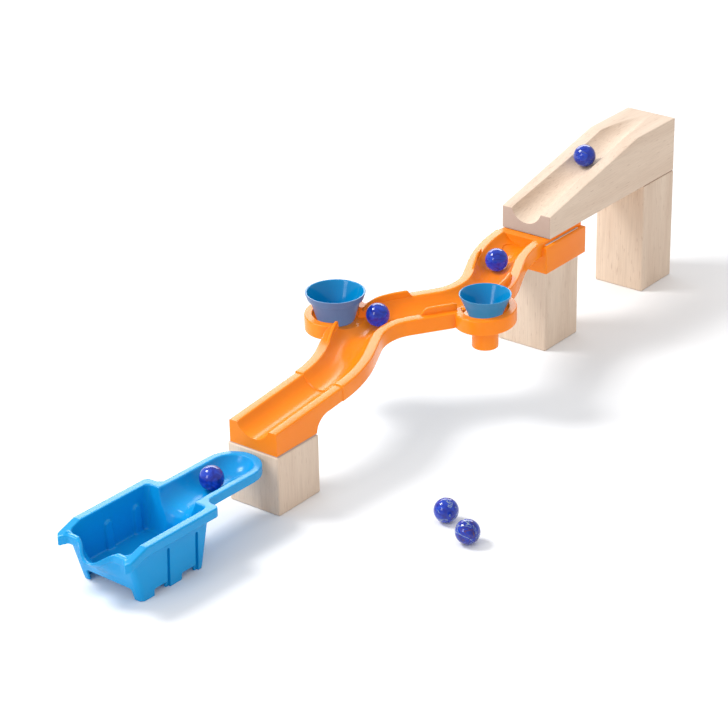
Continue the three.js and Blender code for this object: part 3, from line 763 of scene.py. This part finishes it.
def wallDepth(distance):
    d = trackDims
    toBlock = rimHeight(trackLow[0] + distance) - frontHigh[2] - d["gap"]
    past = distance - (frontHigh[0] - trackLow[0])
    if past <= 0:
        return toBlock
    if past >= d["shoeFillet"]:
        return d["skirt"]
    rest = d["shoeFillet"] - past
    share = math.sqrt(d["shoeFillet"] ** 2 - rest ** 2) / d["shoeFillet"]
    return toBlock + (d["skirt"] - toBlock) * share


def channelArc(inset, steps, up):
    half, depth = trackDims["channelHalf"], trackDims["channelDepth"]
    radius = (half ** 2 + depth ** 2) / (2 * depth)
    reach = math.degrees(math.asin(half / radius))
    points = arc(0, depth - radius, radius + inset, 90 + reach, 90 - reach, steps)
    return [(w, drop - up) for w, drop in points]


def trackSection(distance):
    d = trackDims
    share = min(1.0, max(0.0, (distance - d["stepAt"]) / d["stepRun"] + 0.5))
    up = d["stepUp"] * share
    half = d["halfWidth"] - d["stepOut"] * (1 - share)
    deep = wallDepth(distance)
    channel = channelArc(0, d["channelSteps"], up)
    under = [(w, max(drop, d["wall"] - up)) for w, drop in channelArc(d["wall"], d["underSteps"], up)]
    innerEdge = d["channelHalf"] + d["innerLap"]
    corners = [(-half, deep, d["footRound"]), (-half, -up, d["rimRound"]),
               (-innerEdge, -up, d["innerRound"])]
    corners += [(w, drop, 0) for w, drop in channel[1:-1]]
    corners += [(innerEdge, -up, d["innerRound"]), (half, -up, d["rimRound"]),
                (half, deep, d["footRound"])]
    corners += [(half - d["wall"], deep, d["wallRound"]), (half - d["wall"], d["wall"] - up, 1.0)]
    corners += [(w, drop, 0) for w, drop in reversed(under)]
    corners += [(-half + d["wall"], d["wall"] - up, 1.0), (-half + d["wall"], deep, d["wallRound"])]
    return rounded(corners, 4)


def sweep(name, stations, section):
    return skin(name, [[beside(at, w, drop) for w, drop in section(at)] for at in stations])


def trackStations(end):
    d = trackDims
    shoe = frontHigh[0] - trackLow[0]
    close = np.concatenate([shoe + np.linspace(0, d["shoeFillet"], 14),
                            d["stepAt"] + d["stepRun"] * np.linspace(-0.5, 0.5, 5)])
    return np.unique(np.round(np.concatenate([np.arange(0, end, d["step"]), close, [end]]), 3))


def ringPlace(side):
    centre = centreOf(side + "_cup")
    top = rimHeight(centre[0]) + trackDims["stepUp"]
    return centre[0], centre[1], top


# what is above the channel's surface over a stretch of the path
def channelRoom(name, start, stop, under=0.0):
    d = trackDims
    half, high = d["channelHalf"], -d["roomHigh"]
    section = [(-half, high)] + channelArc(0, d["channelSteps"], d["stepUp"] - under) + [(half, high)]
    return sweep(name, np.arange(start, stop, d["step"]), lambda at: section)


def makeRing(side):
    r, place = ringDims, ringPlace(side)
    outer, stubR = r["outer"], r["stubR"]
    low, join = -r["height"], -r["floorDepth"] - r["stubLap"]
    wall = rounded([(0, low, 0), (outer, low, r["footRound"]), (outer, 0, r["round"]), (0, 0, 0)], 6)
    ring = lathe("ringWall", wall, place, r["sides"], lean=trackDims["rise"])
    foot = low - r["stub"]
    post = rounded([(0, foot, 0), (stubR, foot, r["stubRound"]), (stubR, join, 0), (0, join, 0)], 5)
    stub = lathe("ringStub", post, place, r["stubSides"])
    start, stop = r[side]["open"]
    clear = channelRoom("clear", start - r["clearReach"], stop + r["clearReach"], r["clearUnder"])
    return combine(combine(ring, [stub], "UNION"), [clear], "DIFFERENCE")


# the well, its flared mouth, the bore below it and the break into the channel
def ringRoom(side):
    r, (x, y, top) = ringDims, ringPlace(side)
    floor = top - r["floorDepth"]
    tight, wide = r["inner"] - r["tight"], r["inner"] + r["flare"]
    deep, high = -r["mouthDeep"], r["mouthHigh"]
    well = column("well", r["inner"], floor, top + r["above"], (x, y), r["sides"])
    mouth = rounded([(0, deep, 0), (tight, deep, 0), (tight, -r["flare"], 0),
                     (wide, r["mouthStart"], 0), (wide, high, 0), (0, high, 0)])
    flare = lathe("flare", mouth, (x, y, top), r["sides"], lean=trackDims["rise"])
    bore = column("bore", r["boreR"], floor - r["boreDeep"], floor + 1, (x, y), r["boreSides"])
    start, stop = r[side]["open"]
    breaks = ((start, r["breakWide"]), ((start + stop) / 2, r["breakMiddle"]), (stop, r["breakWide"]))
    edge = [beside(at, r[side]["side"] * w, 0)[:2] for at, w in breaks]
    flank = plate("flank", edge + [(x, y)], floor, floor + r["above"])
    return [combine(well, [flare, bore, flank], "UNION")]


def makeGuard(name):
    g, up = guardDims, trackDims["stepUp"]
    side, heights = g["walls"][name]
    inner = trackDims["channelHalf"] + g["inset"]
    outer = inner + g["wall"]
    marks = [at for at, _ in heights]
    stations = np.unique(np.concatenate([marks, np.arange(marks[0], marks[-1], g["step"])]))
    tops = np.interp(stations, marks, [h for _, h in heights])
    rings = []
    for at, height in zip(stations, tops):
        ceiling = trackHigh[2] - g["below"] - beside(at, side * inner, -up)[2]
        top = -up - min(height, ceiling)
        edge = rounded([(inner, g["root"], 0), (inner, top, g["round"]),
                        (outer, top, g["round"]), (outer, g["root"], 0)])
        rings.append([beside(at, side * w, drop) for w, drop in edge])
    return skin(name, rings)


def makeCollar():
    c, gap = collarDims, trackDims["gap"]
    top = middleHigh[2] + gap
    half, wide = c["length"] / 2, c["width"] / 2
    plateHalf = (middleHigh[1] - middleLow[1]) / 2 - c["plateInset"]
    shell = softBox("collar", (middleX - half, -wide, c["bottom"]),
                    (middleX + half, wide, top - gap), c["ease"])
    lid = softBox("lid", (middleX - half, -plateHalf, top - c["lidLap"]),
                  (middleX + half, plateHalf, top + c["plate"]), c["lidEase"])
    return combine(shell, [lid], "UNION")


# the shallow round landing below the ramp's foot, sunk along the channel's surface
def landingPad():
    p = padDims
    place = beside(p["at"], 0, 0)
    disc = column("disc", p["radius"], place[2] - p["cut"], place[2] + p["cut"], place, p["sides"])
    room = channelRoom("padRoom", p["at"] - p["reach"], p["at"] + p["reach"], p["depth"])
    return combine(disc, [room], "INTERSECT")


# the solid wall that closes the channel's low end
def noseSection(at):
    d = trackDims
    half, deep = d["halfWidth"] - d["stepOut"], wallDepth(at)
    corners = [(-half, deep, d["footRound"]), (-half, d["noseTop"], 0)]
    corners += [(w, drop, 0) for w, drop in channelArc(0, d["channelSteps"], 0)]
    return rounded(corners + [(half, d["noseTop"], 0), (half, deep, d["footRound"])])


def makeTrack():
    d, c = trackDims, collarDims
    upTo = sum(length for length, _ in pathLegs()[:8])
    end = upTo + (middleX - c["length"] / 2) - pathAt(upTo)[0] + d["collarLap"]
    track = sweep("sTrack", trackStations(end), trackSection)
    nose = sweep("nose", [0, d["wall"]], noseSection)
    combine(track, [nose, makeCollar(), makeRing("left"), makeRing("right")], "UNION")
    room = (middleHigh[0] - middleLow[0]) / 2 + c["fit"]
    blockRoom = softBox("blockRoom", (middleX - room, -room, 0),
                        (middleX + room, room, middleHigh[2] + d["gap"]), 0)
    mouth = channelRoom("mouth", upTo - d["mouthLap"], end + c["sill"])
    combine(track, ringRoom("left") + ringRoom("right") + [mouth, landingPad(), blockRoom], "DIFFERENCE")
    combine(track, [makeGuard(name) for name in guardDims["walls"]], "UNION")
    paint(track, "trackOrange")
    smoothShade(track, 30)
    track.visible_diffuse = False
    return seat(track, "s_track")


makeTrack()
print("track made")

# scoop

scoopDims = {
    "rimZ": 38, "skirt": 6.2, "wall": 1.8, "turn": -1.8, "handleR": 18.6, "channelR": 14.6,
    "channelDepth": 9.3, "halfWidth": 30, "rearX": -61.4, "breakX": -123.4, "frontX": -139.4,
    "corner": 4, "neckR": 5, "earDrop": 0.336, "bodyHalf": 26, "draft": 1.5, "floorZ": 8,
    "rearWallX": -64.9, "rearLean": 0.18, "frontFootX": -126.9, "frontLean": 0.28,
    "spoutHalf": 17, "spoutReach": 10.5, "lipZ": 33.6, "lipDip": 7.4, "lipBand": 4.2, "lipProud": 1.3,
    "feet": (-113.9, -103.2, -90.7, -79.2), "footHalf": 18, "notch": 4.3, "fluteX": (-102, -78),
    "fluteWide": 2.5, "fluteDeep": 1.7, "fluteTop": 26.6, "voxel": 0.64, "passes": 4,
    "leastCorner": 0.8, "earCut": 3, "earMouth": 4, "basinCorner": 3.5, "swellFrom": 12, "swellOver": 14,
    "bandZ": (16, 36), "bandReach": 4, "lipReach": 9.5, "lipWide": 25, "earLong": 46, "clear": 70,
    "levelsFrom": 14, "basinAbove": 6, "farAhead": 80, "heelLong": 6,
}


def rimOutline(inset):
    d = scoopDims
    half, handle, rear = d["halfWidth"] - inset, d["handleR"] - inset, d["rearX"] - inset
    corner, neck = max(d["corner"] - inset, d["leastCorner"]), d["neckR"] + inset
    near = arc(-d["handleR"], 0, handle, 0, -90, 40)
    near += arc(rear + neck, -handle - neck, neck, 90, 180, 12)
    near += arc(rear - corner, corner - half, corner, 0, -90, 12)
    near.append((d["breakX"] - 0.02, -half))
    near = [p for i, p in enumerate(near) if i == 0 or math.dist(p, near[i - 1]) > 0.02]
    return near + [(x, -y) for x, y in reversed(near[1:])]


def earOutline(inset):
    d = scoopDims
    half, front, cut = d["halfWidth"] - inset, d["frontX"] + inset, d["earCut"]
    mouth, mouthHalf = front + d["earMouth"], d["bodyHalf"] - d["earMouth"]
    return [(d["breakX"], -half), (d["breakX"], half), (front + cut, half), (front, half - cut),
            (mouth, mouthHalf), (mouth, -mouthHalf), (front, cut - half), (front + cut, -half)]


def earLift(x, y):
    return min(0.0, scoopDims["earDrop"] * (x - scoopDims["breakX"]))


# a plain box, as wide to the left as to the right
def blockOf(name, x0, x1, half, z0, z1):
    return softBox(name, (x0, -half, z0), (x1, half, z1), 0)


def rimFlange():
    d = scoopDims
    low, wall = d["rimZ"] - d["skirt"], d["wall"]
    flange = combine(plate("catchScoop", rimOutline(0), low, d["rimZ"]),
                     [plate("hollow", rimOutline(wall), low - 1, d["rimZ"] - wall)], "DIFFERENCE")
    ears = plate("ears", earOutline(0), low, d["rimZ"], earLift)
    inEars = plate("inEars", earOutline(wall), low - 1, d["rimZ"] - wall, earLift)
    through = blockOf("through", d["breakX"] - 0.5, d["breakX"] + 5, d["halfWidth"] - wall,
                      0, d["rimZ"] - wall)
    combine(ears, [inEars, through], "DIFFERENCE")
    return combine(flange, [ears], "UNION")


# 1 in the middle of the front wall, falling to 0 at the spout's sides
def spoutShare(y):
    half = scoopDims["spoutHalf"]
    return math.cos(math.pi / 2 * y / half) ** 2 if abs(y) < half else 0.0


def frontAt(y, z):
    d = scoopDims
    swell = min(1.1, max(0.0, (z - d["swellFrom"]) / d["swellOver"])) ** 1.2
    wall = d["frontFootX"] - d["frontLean"] * (z - d["floorZ"])
    return wall - d["spoutReach"] * swell * spoutShare(y)


def sideAt(z):
    return scoopDims["bodyHalf"] - scoopDims["draft"] * (1 - z / scoopDims["rimZ"])


def basinLevel(z, inset):
    d = scoopDims
    half, corner = sideAt(z) - inset, d["basinCorner"]
    rear = d["rearWallX"] - d["rearLean"] * (d["rimZ"] - z) - inset
    front = arc(0, half - corner, corner, 90, 180, 10)
    front += [(-corner, y) for y in np.linspace(d["spoutHalf"], -d["spoutHalf"], 35)]
    front += arc(0, corner - half, corner, 180, 270, 10)
    points = arc(rear - corner, half - corner, corner, 0, 90, 10)
    points += [(x + frontAt(y, z) + inset + corner, y) for x, y in front]
    points += arc(rear - corner, corner - half, corner, 270, 360, 10)
    return [(x, y, z) for x, y in points]


def basin(name, levels, inset):
    return skin(name, [basinLevel(z, inset) for z in levels])


# the handle's channel and the lip that rolls over into the basin, as discs along its bottom
def channelLoft(name, radius):
    d = scoopDims
    bottom, neck, end = d["rimZ"] - d["channelDepth"], d["rearX"], -d["handleR"]
    line = np.array([
        (end, bottom, 90), (neck + 10, bottom - 0.8, 89), (neck + 2, bottom - 1.6, 84),
        (neck - 2.5, bottom - 3.1, 70), (neck - 5.6, bottom - 6.1, 50),
        (neck - 7.6, bottom - 10.7, 25), (neck - 8.6, d["floorZ"] + d["wall"], 8)])
    run = np.concatenate([[0], np.cumsum(np.hypot(*np.diff(line[:, :2], axis=0).T))])
    fine = np.unique(np.concatenate([run, np.arange(0, run[-1], 1.2)]))
    rings = []
    for x, z, tilt in zip(*(np.interp(fine, run, line[:, i]) for i in range(3))):
        ahead, up = -math.cos(math.radians(tilt)), math.sin(math.radians(tilt))
        reach = [(y, d["channelR"] + v) for y, v in arc(0, 0, radius, 0, 357.5, 143)]
        rings.append([(x + r * ahead, y, z + r * up) for y, r in reach])
    turns = np.radians(np.linspace(-90, 90, 61))
    profile = [(radius * math.cos(a), radius * math.sin(a)) for a in turns]
    profile[0], profile[-1] = (0, -radius), (0, radius)
    ball = lathe("ball", profile, (end, 0, bottom + d["channelR"]), 128)
    return combine(skin(name, rings), [ball], "UNION")


# a straight cut across the scoop, with its outline in the XZ plane
def crossCut(outline):
    wide = 2 * scoopDims["halfWidth"]
    return skin("crossCut", [[(x, y, z) for x, z in outline] for y in (-wide, wide)])


# a straight cut along the scoop through its front, with its outline in the YZ plane
def frontCut(outline, reach):
    far = scoopDims["frontX"] - 30
    return skin("frontCut", [[(x, y, z) for y, z in outline] for x in (far, reach)])


def lipEdge(drop):
    d = scoopDims
    across = np.linspace(-d["lipWide"], d["lipWide"], 81)
    return [(y, d["lipZ"] - d["lipDip"] * spoutShare(y) - drop) for y in across]


# an upright round-topped bar in a side wall, between two depths from the outside
def flute(side, x, width, top, outer, inner):
    half = width / 2
    outline = [(x - half, -1), (x + half, -1)] + arc(x, top - half, half, 0, 180, 12)
    rings = [[(px, side * (sideAt(z) - deep), z) for px, z in outline] for deep in (outer, inner)]
    return skin("flute", rings)


def scoopBody(levels):
    d = scoopDims
    wall, floor, rim = d["wall"], d["floorZ"], d["rimZ"]
    band = basin("band", list(np.linspace(*d["bandZ"], 9)), -d["lipProud"])
    strip = frontCut(lipEdge(d["lipBand"]) + lipEdge(0)[::-1], d["breakX"] - d["bandReach"])
    combine(band, [strip], "INTERSECT")
    body = combine(rimFlange(), [basin("outside", [0, floor] + levels, 0), band], "UNION")
    inside = basin("inside", [floor + wall] + levels + [rim + d["basinAbove"]], wall)
    return combine(body, [inside, basin("under", [-1, floor], wall)], "DIFFERENCE")


# the inner bulge that leaves the wall its thickness behind a groove
def makeRib(side, x):
    d = scoopDims
    deep = d["fluteDeep"]
    rib = flute(side, x, d["fluteWide"] + 2 * deep, d["fluteTop"] + deep, d["wall"] / 2, d["wall"] + deep)
    room = blockOf("ribRoom", x - 10, x + 10, d["halfWidth"], 0, d["rimZ"])
    return combine(rib, [room], "INTERSECT")


def makeChute():
    d = scoopDims
    wall, rim, rear = d["wall"], d["rimZ"], d["rearWallX"]
    chute = channelLoft("chute", d["channelR"] + wall)
    room = blockOf("handleRoom", rear - 12, 5, d["handleR"] - 1, d["floorZ"], rim)
    combine(chute, [room], "INTERSECT")
    ahead = rear - d["farAhead"]
    inFront = crossCut([(rear - wall, rim), (rear - wall, d["clear"]), (ahead, d["clear"]),
                        (ahead, 0), (rear - wall - d["rearLean"] * rim, 0)])
    return combine(chute, [inFront], "DIFFERENCE")


def scoopRoom():
    d = scoopDims
    floor, rim, rear, feet = d["floorZ"], d["rimZ"], d["rearWallX"], d["feet"]
    edge, earEnd, clear = d["breakX"], d["breakX"] - d["earLong"], d["clear"]
    channel = channelLoft("channel", d["channelR"])
    aboveFloor = blockOf("aboveFloor", d["frontX"], 25, 40, floor + d["wall"], rim * 2)
    combine(channel, [aboveFloor], "INTERSECT")
    overEars = crossCut([(edge, rim), (edge, clear), (earEnd, clear),
                         (earEnd, rim - d["earLong"] * d["earDrop"])])
    lip = [(-d["lipWide"], clear)] + lipEdge(0) + [(d["lipWide"], clear)]
    overLip = frontCut(lip, edge - d["lipReach"])
    spans = [(feet[0], feet[1], d["halfWidth"], d["notch"]), (feet[2], feet[3], d["halfWidth"], d["notch"]),
             (d["frontX"], feet[0] - d["heelLong"], d["footHalf"], floor),
             (rear - 10, rear + 10, d["footHalf"], floor)]
    notches = [blockOf("notch", x0, x1, half, -1, top) for x0, x1, half, top in spans]
    return [channel, overEars, overLip] + notches


def makeScoop():
    d = scoopDims
    scoop = scoopBody(list(np.linspace(d["levelsFrom"], d["rimZ"], 13)))
    places = [(side, x) for x in d["fluteX"] for side in (1, -1)]
    combine(scoop, [makeRib(side, x) for side, x in places] + [makeChute()], "UNION")
    combine(scoop, scoopRoom(), "DIFFERENCE")
    soften(scoop, d["voxel"], d["passes"])
    grooves = [flute(side, x, d["fluteWide"], d["fluteTop"], -1, d["fluteDeep"]) for side, x in places]
    combine(scoop, grooves, "DIFFERENCE")
    high = boxOf("scoop")[1]
    handleEnd = (high[0] * millimetre, centreOf("front_block")[1] * millimetre, 0)
    turn = Matrix.Rotation(math.radians(d["turn"]), 4, "Z")
    scoop.data.transform(Matrix.Translation(handleEnd) @ turn)
    paint(scoop, "scoopBlue")
    smoothShade(scoop, 45)
    return seat(scoop, "scoop")


makeScoop()
print("scoop made")

print("done")
